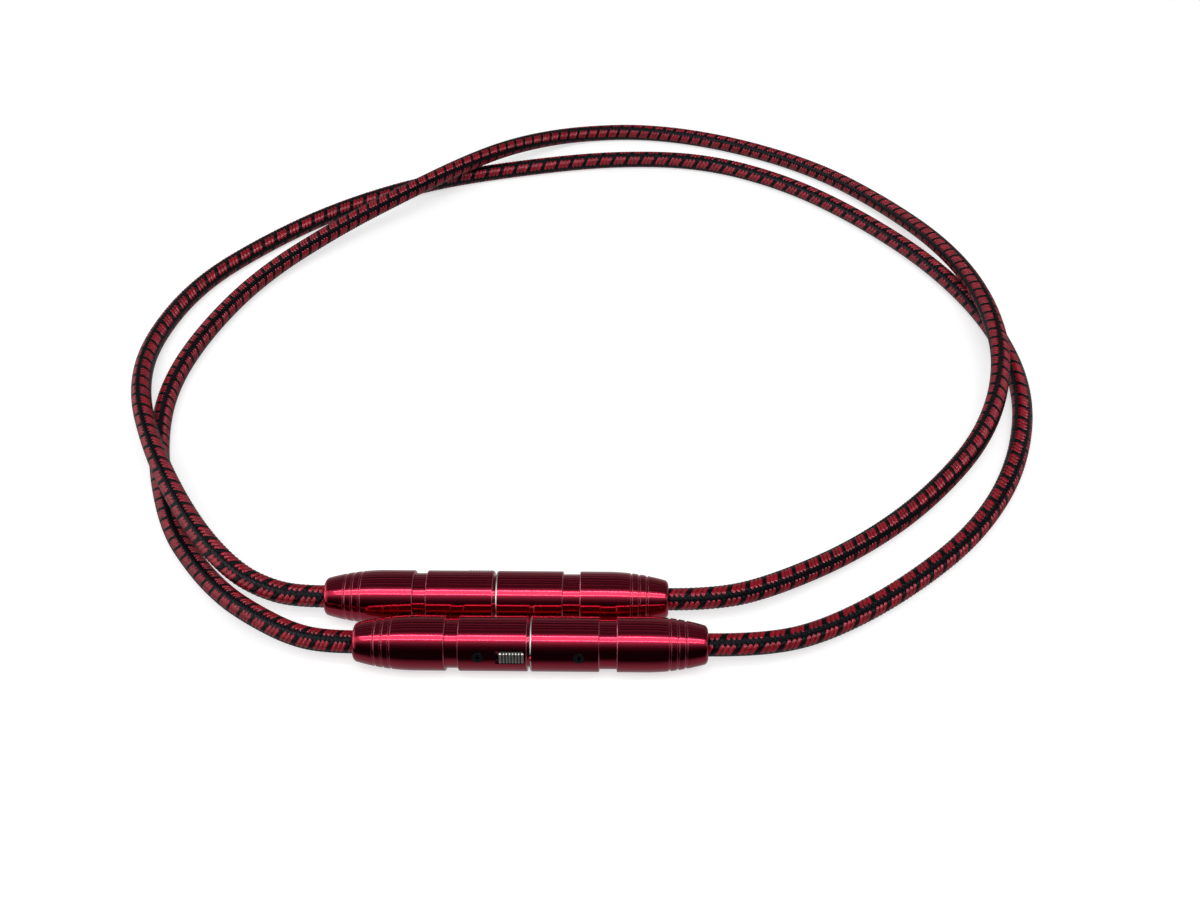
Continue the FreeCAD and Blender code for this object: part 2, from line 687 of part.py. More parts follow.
def cord(name, start, middle, end):
    """A tube along straight runs joined by arcs as large as the runs allow, in two pieces.

    The short piece ends at the male plug and bends when that plug is pulled. The pieces meet
    in the middle of the third run from that end.
    """
    points = [start] + [FreeCAD.Vector(*point) for point in middle] + [end]
    radius = number_of(CABLE)
    here, tightest, length = points[0], None, 0.0
    ring = Part.Circle(here, points[1] - here, radius).toShape()
    skins, pieces, seams = [], [], [ring]

    def straight(reach):
        nonlocal ring
        skins.append(ring.extrude(reach))
        ring = ring.translated(reach)

    def close():
        """Close the skins made since the last seam into a solid."""
        seams.append(ring)
        caps = [Part.Face(Part.Wire(edge)) for edge in seams[-2:]]
        shell = Part.Shell(skins + caps)
        shell.sewShape()
        pieces.append(Part.Solid(shell))
        skins.clear()

    for index, (before, point, after) in enumerate(zip(points, points[1:], points[2:])):
        back = (before - point).normalize()
        ahead = (after - point).normalize()
        reach = ARC_SHARE * min((before - point).Length, (after - point).Length)
        turn = math.pi - back.getAngle(ahead)
        bend = reach / math.tan(turn / 2)
        tightest = bend if tightest is None else min(tightest, bend)
        run = point + back * reach - here
        if index == len(points) - 4:
            straight(run / 2)
            close()
            straight(run / 2)
        else:
            straight(run)
        length += run.Length + bend * turn
        middle_of_bend = point + (back + ahead).normalize() * math.hypot(bend, reach)
        axis = ahead.cross(back)
        skins.append(ring.revolve(middle_of_bend, axis, math.degrees(turn)))
        ring = ring.rotated(middle_of_bend, axis, math.degrees(turn))
        here = point + ahead * reach
    straight(points[-1] - here)
    length += (points[-1] - here).Length
    close()
    expected = math.pi * radius ** 2 * length
    print("%s: length %.0f mm, tightest bend %.0f mm, volume over section by length %.4f"
          % (name, length, tightest, sum(piece.Volume for piece in pieces) / expected))
    features = []
    for label, shape in zip((name, name + "_end"), pieces):
        feature = doc.addObject("Part::Feature", label)
        feature.Label = label
        feature.Shape = shape
        features.append(feature)
    return features


def build_pair(pair, side):
    """One mated pair: side is -1 for the front pair and 1 for the back pair."""
    height = number_of(BARREL)
    across = side * number_of(BARREL + size("pair_gap") / 2)
    seam = -side * number_of(size("pair_stagger")) / 2
    lean = -side * (90 - number_of(size("latch_elevation")))
    x_axis = FreeCAD.Vector(1, 0, 0)
    roll = FreeCAD.Rotation(x_axis, lean)
    about = FreeCAD.Rotation(FreeCAD.Vector(0, 0, 1), 180)
    reach = number_of(LENGTH)
    female_place = FreeCAD.Placement(FreeCAD.Vector(seam - reach, across, height), roll)
    male_place = FreeCAD.Placement(FreeCAD.Vector(seam + reach, across, height), roll * about)
    female = pair + "_female_"
    male = pair + "_male_"
    pieces = [
        (female_shell(female + "shell"), female_place),
        (tail(female + "tail", "female"), female_place),
        (female_insert(female + "insert"), female_place),
        (sockets(female + "sockets"), female_place),
        (latch_button(female + "latch_button"), female_place),
        (latch_spring(female + "latch_spring"), female_place),
        (set_screw(female + "set_screw", size("female_screw_place"), NOSE_BORE), female_place),
        (collet(female + "collet"), female_place),
        (cable_end(female + "cable_end"), female_place),
        (leads(female + "leads"), female_place),
        (male_shell(male + "shell"), male_place),
        (tail(male + "tail", "male"), male_place),
        (male_insert(male + "insert"), male_place),
        (pins(male + "pins"), male_place),
        (set_screw(male + "set_screw", size("male_screw_place"), MALE_BORE), male_place),
        (collet(male + "collet"), male_place),
        (cable_end(male + "cable_end"), male_place),
        (leads(male + "leads"), male_place),
    ]
    for piece, place in pieces:
        piece.Placement = place
    return [piece for piece, place in pieces], female_place.Base, male_place.Base


front_pieces, front_female_end, front_male_end = build_pair("front", -1)
back_pieces, back_female_end, back_male_end = build_pair("back", 1)
cable_one = cord("cable_one_cord", front_female_end, CABLE_ONE_ROUTE, back_male_end)
cable_two = cord("cable_two_cord", back_female_end, CABLE_TWO_ROUTE, front_male_end)
pieces = front_pieces + back_pieces + cable_one + cable_two
doc.recompute()

for thing in doc.Objects:
    if "Invalid" in thing.State or "Error" in thing.State:
        raise RuntimeError("%s did not build: %s" % (thing.Name, thing.State))
for piece in pieces:
    if piece.Shape.isNull() or not piece.Shape.isValid() or not piece.Shape.Solids:
        raise RuntimeError("%s has no valid solid" % piece.Label)

os.makedirs("parts", exist_ok=True)
for piece in pieces:
    piece.Shape.exportStep("parts/%s.step" % piece.Label)
print("%d pieces written" % len(pieces))
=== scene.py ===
"""The look of a pair of balanced audio cables with braided jackets and red three-pin plugs.

The cables lie on the floor in a closed double loop. Lengths are in metres in the row frame, and
in millimetres in a plug's own frame, whose X runs from its cable end towards its mate and whose
+Z is its latch side.
"""

import math

import bmesh
import bpy
import numpy as np
from mathutils import Matrix, Vector


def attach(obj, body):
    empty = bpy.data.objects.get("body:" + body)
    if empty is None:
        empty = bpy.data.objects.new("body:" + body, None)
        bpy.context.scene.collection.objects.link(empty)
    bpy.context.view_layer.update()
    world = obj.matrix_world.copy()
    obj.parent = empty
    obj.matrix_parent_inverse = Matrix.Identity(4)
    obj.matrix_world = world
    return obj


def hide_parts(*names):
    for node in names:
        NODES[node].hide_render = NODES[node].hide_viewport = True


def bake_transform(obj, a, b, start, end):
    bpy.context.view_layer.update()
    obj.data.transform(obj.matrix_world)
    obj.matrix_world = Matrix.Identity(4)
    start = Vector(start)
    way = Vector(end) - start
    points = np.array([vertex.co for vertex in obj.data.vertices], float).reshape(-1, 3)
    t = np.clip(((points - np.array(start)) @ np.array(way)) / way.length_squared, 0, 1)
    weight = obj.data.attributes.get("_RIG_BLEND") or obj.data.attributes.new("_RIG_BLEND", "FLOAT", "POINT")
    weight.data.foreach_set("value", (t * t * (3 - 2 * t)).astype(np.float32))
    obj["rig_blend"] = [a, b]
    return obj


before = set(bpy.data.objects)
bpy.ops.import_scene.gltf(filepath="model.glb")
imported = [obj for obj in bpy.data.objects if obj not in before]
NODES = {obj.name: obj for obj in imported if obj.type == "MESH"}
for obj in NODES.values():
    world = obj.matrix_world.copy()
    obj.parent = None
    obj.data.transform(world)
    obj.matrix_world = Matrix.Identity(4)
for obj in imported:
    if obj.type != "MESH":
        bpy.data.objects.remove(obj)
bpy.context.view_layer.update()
scene = bpy.context.scene
scene.view_settings.view_transform = "Standard"
MM = 0.001
SIDES = {"front": -1, "back": 1}    # of the two plug pairs, along Y


# Camera, fitted to both plug pairs and to the cables on the floor
CAMERA_PLACE = Vector((0.03566, -0.29841, 0.36360))
CAMERA_RIGHT = Vector((0.99989, 0.01425, -0.00386))
CAMERA_DOWN = Vector((0.00679, -0.67572, -0.73713))
CAMERA_AHEAD = Vector((-0.01311, 0.73702, -0.67574))
SENSOR_WIDTH, FOCAL_LENGTH = 36.0, 39.69

camera_data = bpy.data.cameras.new("camera")
camera_data.sensor_width = SENSOR_WIDTH
camera_data.lens = FOCAL_LENGTH
camera_data.clip_start = 0.01
camera = bpy.data.objects.new("camera", camera_data)
scene.collection.objects.link(camera)
turn = Matrix((CAMERA_RIGHT, -CAMERA_DOWN, -CAMERA_AHEAD)).transposed()
camera.matrix_world = Matrix.Translation(CAMERA_PLACE) @ turn.to_4x4()
scene.camera = camera


# Plugs: sizes in mm that their materials and outlines share
LENGTH = 60.45          # from a plug's cable end to the seam with its mate
BARREL = 9.5            # outside radius
PAIR_OFFSET = 10.2      # of each pair's axis from the middle between the pairs
SEAM_OFFSET = 6.5       # of each pair's seam along X
LATCH_LEAN = math.radians(71)   # of the latch side from straight up


# Shader helpers
class Nodes:
    """A small builder over one node tree."""

    def __init__(self, tree):
        self.tree = tree
        tree.nodes.clear()

    def add(self, kind, inputs=(), **settings):
        """A node of a kind, with its inputs linked or set, and its settings."""
        node = self.tree.nodes.new("ShaderNode" + kind)
        for name, value in settings.items():
            setattr(node, name, value)
        for name, value in dict(inputs).items():
            socket = node.inputs[name]
            if isinstance(value, bpy.types.NodeSocket):
                self.tree.links.new(value, socket)
            else:
                socket.default_value = value
        return node

    def math(self, operation, *values):
        node = self.add("Math", operation=operation)
        for socket, value in zip(node.inputs, values):
            if isinstance(value, bpy.types.NodeSocket):
                self.tree.links.new(value, socket)
            else:
                socket.default_value = value
        return node.outputs[0]

    def ramp(self, factor, stops, interpolation="LINEAR"):
        node = self.add("ValToRGB", {"Fac": factor})
        node.color_ramp.interpolation = interpolation
        elements = node.color_ramp.elements
        while len(elements) < len(stops):
            elements.new(0.5)
        for element, (place, colour) in zip(elements, stops):
            element.position = place
            element.color = colour if len(colour) == 4 else (*colour, 1.0)
        return node.outputs["Color"]

    def noise(self, scale, detail=2.0, stretch=(1, 1, 1), roughness=0.5):
        place = self.add("TexCoord").outputs["Object"]
        mapped = self.add("Mapping", {"Vector": place, "Scale": stretch}).outputs["Vector"]
        return self.add("TexNoise", {"Vector": mapped, "Scale": scale, "Detail": detail,
                                     "Roughness": roughness}).outputs["Fac"]


def material(name, build):
    """A material whose surface is the shader node that build adds."""
    made = bpy.data.materials.new(name)
    made.use_nodes = True
    nodes = Nodes(made.node_tree)
    shader = build(nodes)
    nodes.add("OutputMaterial", {"Surface": shader.outputs[0]})
    return made


def grey(level):
    return (level, level, level)


def scaled(colour, factor):
    return tuple(channel * factor for channel in colour)


def varied(nodes, colour, spread, factor):
    """A colour that wanders between darker and lighter with a factor."""
    return nodes.ramp(factor, [(0.3, scaled(colour, 1 - spread)),
                               (0.7, scaled(colour, 1 + spread))])


def latch_height(nodes):
    """Height over a plug's axis on its latch side, in metres; the same for both pairs."""
    axes = nodes.add("SeparateXYZ", {"Vector": nodes.add("TexCoord").outputs["Object"]}).outputs
    side = nodes.math("SUBTRACT", nodes.math("ABSOLUTE", axes["Y"]), PAIR_OFFSET * MM)
    rise = nodes.math("SUBTRACT", axes["Z"], BARREL * MM)
    return nodes.math("ADD", nodes.math("MULTIPLY", side, math.sin(LATCH_LEAN)),
                      nodes.math("MULTIPLY", rise, math.cos(LATCH_LEAN)))


RECESS_PAINTED_SHADE = 0.04      # painted shade in recesses, as a share of the unshaded metal's colour


def metal(colour, roughness, grain, coat=0.0, bump=0.00001, stretch=(1, 1, 1), recess_shade=None):
    """Metal with a fine grain in its colour, gloss and surface, and painted shade in recesses.

    recess_shade is (lowest, highest) height over the plug's axis in mm between which painted shade lifts.
    """
    def build(nodes):
        fine = nodes.noise(grain, 3.0, stretch)
        # the noise is 0.5 on average, so the roughness that is asked for is the mean
        rough = nodes.math("MULTIPLY_ADD", nodes.noise(90.0, 2.0), 0.08, roughness - 0.04)
        rise = nodes.add("Bump", {"Height": fine, "Distance": bump, "Strength": 0.4})
        tint = varied(nodes, colour, 0.07, fine)
        if recess_shade:
            # painted shade: the colour darkens from the given heights down into the recesses
            low, high = (place * MM for place in recess_shade)
            over = nodes.math("SUBTRACT", latch_height(nodes), low)
            share = nodes.math("DIVIDE", over, high - low)
            unshaded = nodes.ramp(share, [(0.0, grey(RECESS_PAINTED_SHADE)), (1.0, grey(1.0))])
            tint = nodes.add("VectorMath", {0: tint, 1: unshaded}, operation="MULTIPLY").outputs[0]
        return nodes.add("BsdfPrincipled", {
            "Base Color": tint, "Metallic": 1.0, "Roughness": rough, "Coat Weight": coat,
            "Coat Roughness": 0.04, "Normal": rise.outputs[0]})
    return build


def moulded(colour, roughness):
    """Moulded plastic with a fine matt grain."""
    def build(nodes):
        fine = nodes.noise(2500.0, 2.0)
        rise = nodes.add("Bump", {"Height": fine, "Distance": 0.00002, "Strength": 0.5})
        return nodes.add("BsdfPrincipled", {
            "Base Color": varied(nodes, colour, 0.2, nodes.noise(150.0, 2.0)),
            "Normal": rise.outputs[0],
            "Roughness": nodes.math("MULTIPLY_ADD", fine, 0.15, roughness - 0.07)})
    return build


FILAMENTS = 6                           # across a strand
VALLEY_PAINTED_SHADE, RIDGE_PAINTED_LIGHT = 0.2, 1.3    # painted shade in the valleys and painted light along the middles, as shares of the yarn's colour


def thread(colour, gloss_colour, gloss, index):
    """Braiding yarn: filaments along each strand, and painted shade between strands and filaments."""
    def build(nodes):
        place = nodes.add("UVMap", uv_map="strand").outputs["UV"]
        axes = nodes.add("SeparateXYZ", {"Vector": place}).outputs
        # the filaments wander a little across the strand
        across = nodes.math("MULTIPLY_ADD", nodes.noise(900.0, 2.0), 0.12, axes["Y"])
        ridge = nodes.math("SINE", nodes.math("MULTIPLY", across, 2 * math.pi * FILAMENTS))
        rise = nodes.add("Bump", {"Height": ridge, "Distance": 0.00004, "Strength": 0.7})
        # edge is 0 along the middle of a strand and 1 at its sides
        edge = nodes.math("ABSOLUTE", nodes.math("MULTIPLY_ADD", axes["Y"], 2.0, -1.0))
        valley = nodes.math("POWER", edge, 4.0)
        # painted shade: darker towards a strand's sides and between its filaments, with a random tone on top
        painted_shade_and_tone = nodes.math("MULTIPLY_ADD", valley, -0.7,
                          nodes.math("MULTIPLY_ADD", ridge, 0.12, nodes.noise(300.0, 2.0)))
        return nodes.add("BsdfPrincipled", {
            "Base Color": nodes.ramp(painted_shade_and_tone, [(0.0, scaled(colour, VALLEY_PAINTED_SHADE)),
                                            (0.6, scaled(colour, RIDGE_PAINTED_LIGHT))]),
            "Roughness": nodes.math("MULTIPLY_ADD", valley, 0.3, 0.1), "IOR": index,
            "Specular IOR Level": gloss, "Specular Tint": (*gloss_colour, 1.0),
            "Normal": rise.outputs[0]})
    return build


RED_METAL = material("red_anodised", metal((0.45, 0.001, 0.036), 0.12, 1400.0, coat=0.7,
                                           bump=0.000001, stretch=(4, 1, 1)))
# painted highlight: chamfers and ring edges get a lighter red that draws thin glints along them
RED_PAINTED_GLINT = material("edge_painted_glint", metal((0.66, 0.16, 0.22), 0.28, 1200.0, coat=0.5))
RIM_METAL = material("bare_rim", metal((0.9, 0.88, 0.86), 0.32, 900.0))
# painted shade darkens the button's rib gaps and sides, lifting between 9.45 and 9.72 mm over the axis
NICKEL = material("satin_nickel", metal((0.9, 0.86, 0.8), 0.46, 1600.0, recess_shade=(9.45, 9.72)))
STEEL = material("spring_steel", metal((0.5, 0.5, 0.5), 0.35, 1200.0, stretch=(8, 1, 1)))
GOLD = material("gold_contact", metal((0.83, 0.6, 0.25), 0.22, 1500.0))
# painted shade darkens the screw heads' recesses, lifting between 8.9 and 9.3 mm over the axis
BLACK_SCREW = material("black_oxide", metal((0.09, 0.1, 0.115), 0.38, 1500.0, recess_shade=(8.9, 9.3)))
INSERT = material("black_insert", moulded((0.02, 0.02, 0.022), 0.45))
COLLET = material("black_collet", moulded((0.03, 0.03, 0.03), 0.5))
LEAD = material("lead_insulation", moulded((0.45, 0.05, 0.04), 0.4))
JACKET = material("braid_core", moulded((0.006, 0.005, 0.006), 0.7))
RED_YARN = material("red_yarn", thread((0.34, 0.0, 0.01), (1.0, 0.36, 0.44), 1.0, 1.75))
BLACK_YARN = material("black_yarn", thread((0.002, 0.002, 0.003), (0.9, 0.92, 1.0), 0.18, 1.5))


# Floor, world and lamps. The camera sees the floor and the world white; gloss sees a studio room,
# dark ahead of the plugs, and the floor as a painted reflection; all else gets a plain grey.
FLOOR_COLOUR, FLOOR_GLOW, FLOOR_BOUNCE = 0.62, 0.64, 0.4
FADE_PER_METRE = 20.0
FLOOR_REACH = 3.0
PLAIN_LIGHT = 0.18


def studio_floor(nodes):
    """Pale floor that keeps a soft shadow; in gloss it glows as a painted reflection, dark ahead of the
    plugs.
    """
    rays = nodes.add("LightPath").outputs
    lit = nodes.add("BsdfDiffuse", {"Color": (*grey(FLOOR_COLOUR), 1.0)})
    glow = nodes.add("Emission", {"Color": (*grey(FLOOR_GLOW), 1.0), "Strength": 1.0})
    pale = nodes.add("AddShader", {0: lit.outputs[0], 1: glow.outputs[0]})
    bounce = nodes.add("BsdfDiffuse", {"Color": (*grey(FLOOR_BOUNCE), 1.0)})
    place = nodes.add("TexCoord").outputs["Object"]
    ahead = nodes.add("SeparateXYZ", {"Vector": place}).outputs["Y"]
    # painted reflection: in gloss the floor glows a set grey rather than being lit, darker the further ahead
    # of the plugs it lies
    painted_reflection = nodes.ramp(nodes.math("MULTIPLY_ADD", ahead, FADE_PER_METRE, 1.0), [
        (0.02, grey(0.012)), (0.17, grey(0.07)), (0.3, grey(0.16)), (0.45, grey(0.28)),
        (1.0, grey(0.35))])
    mirrored = nodes.add("Emission", {"Color": painted_reflection, "Strength": 1.0})
    unseen = nodes.add("MixShader", {"Fac": rays["Is Glossy Ray"], 1: bounce.outputs[0],
                                     2: mirrored.outputs[0]})
    return nodes.add("MixShader", {"Fac": rays["Is Camera Ray"], 1: unseen.outputs[0],
                                   2: pale.outputs[0]})


corners = [(-FLOOR_REACH, -FLOOR_REACH, 0), (FLOOR_REACH, -FLOOR_REACH, 0),
           (FLOOR_REACH, FLOOR_REACH, 0), (-FLOOR_REACH, FLOOR_REACH, 0)]
floor_data = bpy.data.meshes.new("floor")
floor_data.from_pydata(corners, [], [(0, 1, 2, 3)])
floor_data.materials.append(material("pale_floor", studio_floor))
floor = bpy.data.objects.new("floor", floor_data)
scene.collection.objects.link(floor)

world = bpy.data.worlds.new("studio")
scene.world = world
world.use_nodes = True
studio = Nodes(world.node_tree)
facing = studio.add("SeparateXYZ", {"Vector": studio.add("TexCoord").outputs["Generated"]}).outputs
# what the gloss shows: elevation from the front horizon over the zenith to the back horizon, as a
# share of half a turn, and walls at both sides, the left one bright
towards = studio.math("MULTIPLY", facing["Y"], -1.0)
sweep = studio.math("DIVIDE", studio.math("ARCTAN2", facing["Z"], towards), math.pi)
room = studio.ramp(sweep, [
    (0.00, grey(0.008)), (0.10, grey(0.012)), (0.15, grey(0.03)), (0.20, grey(0.07)),
    (0.26, grey(0.24)), (0.33, grey(0.8)), (0.45, grey(0.8)), (0.50, grey(0.2)),
    (0.53, grey(0.08)), (0.595, grey(0.1)), (0.60, grey(0.5)), (0.615, grey(0.02)),
    (0.66, grey(0.08)), (0.67, grey(0.4)), (0.685, grey(0.02)), (0.73, grey(0.1)),
    (0.745, grey(0.45)), (0.76, grey(0.02)), (0.82, grey(0.1)), (0.835, grey(0.45)),
    (0.85, grey(0.02)), (0.92, grey(0.25)), (1.0, grey(0.14))])
walls = studio.ramp(studio.math("MULTIPLY_ADD", facing["X"], -0.5, 0.5), [
    (0.0, grey(0.2)), (0.1, grey(0.0)), (0.84, grey(0.0)), (0.93, grey(1.3))])
paths = studio.add("LightPath").outputs
plain = studio.add("Background", {"Color": (1, 1, 1, 1), "Strength": PLAIN_LIGHT})
shown = studio.add("Background", {"Color": (1, 1, 1, 1), "Strength": 1.0})
ahead = studio.add("Background", {"Color": room, "Strength": 1.0})
beside = studio.add("Background", {"Color": walls, "Strength": 1.0})
mirrored = studio.add("AddShader", {0: ahead.outputs[0], 1: beside.outputs[0]})
lit = studio.add("MixShader", {"Fac": paths["Is Glossy Ray"], 1: plain.outputs[0],
                               2: mirrored.outputs[0]})
whole = studio.add("MixShader", {"Fac": paths["Is Camera Ray"], 1: lit.outputs[0],
                                 2: shown.outputs[0]})
studio.add("OutputWorld", {"Surface": whole.outputs[0]})


def lamp(name, place, target, width, depth, power, in_gloss=True):
    """A soft box; without in_gloss it lights, but shows in no reflection."""
    data = bpy.data.lights.new(name, "AREA")
    data.shape = "RECTANGLE"
    data.size, data.size_y = width, depth
    data.energy = power
    made = bpy.data.objects.new(name, data)
    scene.collection.objects.link(made)
    aim = (Vector(target) - Vector(place)).to_track_quat("-Z", "Y")
    made.matrix_world = Matrix.Translation(place) @ aim.to_matrix().to_4x4()
    made.visible_glossy = in_gloss


lamp("overhead", (0.0, -0.42, 1.25), (0.0, 0.0, 0.0), 2.2, 0.44, 4.0)
lamp("near_tube", (0.0, -0.58, 1.1), (0.0, 0.0, 0.0), 2.0, 0.045, 2.2)
lamp("far_tube", (0.0, -0.24, 1.2), (0.0, 0.0, 0.0), 2.0, 0.045, 2.8)
lamp("key", (0.0, -1.3, 2.5), (0.0, 0.15, 0.0), 2.4, 1.6, 16.0, in_gloss=False)
lamp("far", (0.0, 1.5, 2.0), (0.0, 0.15, 0.0), 2.4, 1.0, 6.0, in_gloss=False)


# Meshes
def place_mesh(name, verts, faces, materials, smooth=True, face_materials=None):
    """A new piece in the row frame, with its materials and its shading."""
    data = bpy.data.meshes.new(name)
    data.from_pydata([tuple(v) for v in verts], [], faces)
    for item in materials:
        data.materials.append(item)
    if face_materials is not None:
        data.polygons.foreach_set("material_index", face_materials)
    data.polygons.foreach_set("use_smooth", [smooth] * len(data.polygons))
    data.update()
    made = bpy.data.objects.new(name, data)
    scene.collection.objects.link(made)
    return made


# The cables' routes, between the ends that the plugs give
CABLE_ONE = [
    (-0.05395, -0.0102, 0.0095), (-0.0641, -0.0102, 0.0095), (-0.0758, -0.0076, 0.0101),
    (-0.0892, -0.0007, 0.011), (-0.1036, 0.0114, 0.0077), (-0.1182, 0.0277, 0.0052),
    (-0.134, 0.0496, 0.00415), (-0.1495, 0.09, 0.00415), (-0.1555, 0.13, 0.00415),
    (-0.149, 0.17, 0.00415), (-0.1325, 0.213, 0.00415), (-0.102, 0.246, 0.009),
    (-0.0715, 0.2705, 0.0138), (-0.0405, 0.3025, 0.0138), (-0.0165, 0.327, 0.01),
    (0.012, 0.348, 0.00415), (0.052, 0.351, 0.00415), (0.096, 0.338, 0.00415),
    (0.1395, 0.3115, 0.00415), (0.171, 0.2735, 0.005), (0.1905, 0.2275, 0.0112),
    (0.1995, 0.185, 0.014), (0.199, 0.141, 0.0136), (0.185, 0.1015, 0.008),
    (0.1565, 0.067, 0.00415), (0.125, 0.0395, 0.0046), (0.092, 0.0182, 0.008),
    (0.0707, 0.0102, 0.0095), (0.05395, 0.0102, 0.0095),
]
CABLE_TWO = [
    (-0.06695, 0.0102, 0.0095), (-0.0772, 0.0102, 0.0095), (-0.088, 0.0125, 0.0104),
    (-0.0999, 0.0181, 0.0123), (-0.1139, 0.0308, 0.0154), (-0.1297, 0.0532, 0.0137),
    (-0.1467, 0.0819, 0.0138), (-0.164, 0.121, 0.0105), (-0.171, 0.163, 0.00415),
    (-0.1605, 0.2055, 0.00415), (-0.1355, 0.2405, 0.00415), (-0.104, 0.272, 0.00415),
    (-0.0635, 0.297, 0.00415), (-0.016, 0.312, 0.00415), (0.033, 0.322, 0.00415),
    (0.08, 0.32, 0.00415), (0.121, 0.299, 0.00415), (0.1545, 0.2665, 0.00415),
    (0.184, 0.226, 0.00415), (0.203, 0.1805, 0.00415), (0.2075, 0.133, 0.00415),
    (0.195, 0.087, 0.00415), (0.172, 0.0497, 0.00415), (0.14, 0.0205, 0.00415),
    (0.109, -0.0008, 0.006), (0.0857, -0.0102, 0.0095), (0.06695, -0.0102, 0.0095),
]


class Line:
    """A cable's centreline, read from a NURBS spline, with places and directions along it."""

    def __init__(self, points):
        curve = bpy.data.curves.new("route", "CURVE")
        curve.dimensions = "3D"
        spline = curve.splines.new("NURBS")
        spline.points.add(len(points) - 1)
        for point, place in zip(spline.points, points):
            point.co = (*place, 1.0)
        spline.order_u = 3
        spline.use_endpoint_u = True
        spline.resolution_u = 24
        carrier = bpy.data.objects.new("route", curve)
        mesh = bpy.data.meshes.new_from_object(carrier)
        self.points = np.array([tuple(v.co) for v in mesh.vertices])
        bpy.data.objects.remove(carrier)
        bpy.data.curves.remove(curve)
        bpy.data.meshes.remove(mesh)
        steps = np.linalg.norm(np.diff(self.points, axis=0), axis=1)
        self.stations = np.concatenate([[0.0], np.cumsum(steps)])
        self.length = self.stations[-1]
        self.tangents = np.gradient(self.points, self.stations, axis=0)
        self.tangents /= np.linalg.norm(self.tangents, axis=1)[:, None]

    def at(self, stations):
        """Places, and the directions up and left of the cable, at stations along it."""
        place = np.column_stack([np.interp(stations, self.stations, self.points[:, k])
                                 for k in range(3)])
        ahead = np.column_stack([np.interp(stations, self.stations, self.tangents[:, k])
                                 for k in range(3)])
        ahead /= np.linalg.norm(ahead, axis=1)[:, None]
        up = np.array([0.0, 0.0, 1.0]) - ahead * ahead[:, 2:3]
        up /= np.linalg.norm(up, axis=1)[:, None]
        return place, up, np.cross(up, ahead)

    def around(self, stations, angles, radii):
        """Points at angles from up towards the left, in radians."""
        place, up, left = self.at(stations)
        out = up * np.cos(angles)[:, None] + left * np.sin(angles)[:, None]
        return place + out * np.asarray(radii)[:, None]


CORE_RADIUS, CORE_SIDES = 0.0035, 24


def core(name, line, nodes):
    """The dark tube under the braid: the cable itself."""
    rings = len(line.points)
    angles = np.tile(np.arange(CORE_SIDES) * 2 * math.pi / CORE_SIDES, rings)
    stations = np.repeat(line.stations, CORE_SIDES)
    verts = line.around(stations, angles, np.full(len(angles), CORE_RADIUS))
    faces = []
    for ring in range(rings - 1):
        for side in range(CORE_SIDES):
            a, b = ring * CORE_SIDES + side, ring * CORE_SIDES + (side + 1) % CORE_SIDES
            faces.append((a, b, b + CORE_SIDES, a + CORE_SIDES))
    faces.append(tuple(range(CORE_SIDES)))
    faces.append(tuple(range(len(verts) - 1, len(verts) - CORE_SIDES - 1, -1)))
    made = place_mesh(name, verts, faces, [JACKET])
    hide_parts(*nodes)
    return made


# The braid: 16 strands, 8 each way, each over two and under two, so that floats line up in lanes
STRANDS, STRAND_STEP = 8, 45.0      # of one hand, and the degrees between neighbours
LANES, LANE_STEP = 4, 90.0
# angles round the cable, from a float's middle: where it ends, and where it lies under the next
# strand
FLOAT_REACH, FLOAT_UNDER = math.radians(36), math.radians(33.75)
STEPS_ALONG = (-1.0, -0.8, -0.5, 0.0, 0.5, 0.8, 1.0)
STEPS_ACROSS = (-1.0, -0.6, 0.0, 0.6, 1.0)
ALONG, ACROSS = len(STEPS_ALONG) - 1, len(STEPS_ACROSS) - 1
WEAVE_RADIUS = 0.00374
# a float's height over that radius at its middle, how far it has sunk where it lies under the
# next strand, how far the red hand is raised and the black one lowered, and how much higher a
# strand is along its middle than at its edges
WEAVE_RISE, WEAVE_FALL, WEAVE_SHIFT, STRAND_CROWN = 0.00014, 0.00034, 0.00006, 0.0002


def floats(line, lane_table, lead_table, handed):
    """Centres of one hand's floats: (station, lane angle, lead, strand number)."""
    grid = np.linspace(0.0, line.length, 4000)
    lead = np.interp(grid, *zip(*lead_table))
    phase = np.concatenate([[0.0], np.cumsum(np.diff(grid) / lead[:-1])])
    found = []
    for lane in range(LANES):
        shift = LANE_STEP * lane + (0.0 if handed > 0 else LANE_STEP / 2)
        for strand in range(STRANDS):
            start = (shift + STRAND_STEP / 4 - STRAND_STEP * strand) / 360.0 * handed
            first = math.ceil(phase[0] - start)
            for whole_turn in range(first, math.ceil(phase[-1] - start)):
                station = np.interp(start + whole_turn, phase, grid)
                angle = np.interp(station, *zip(*lane_table)) + shift
                found.append((station, math.radians(angle), np.interp(station, grid, lead), strand))
    return found


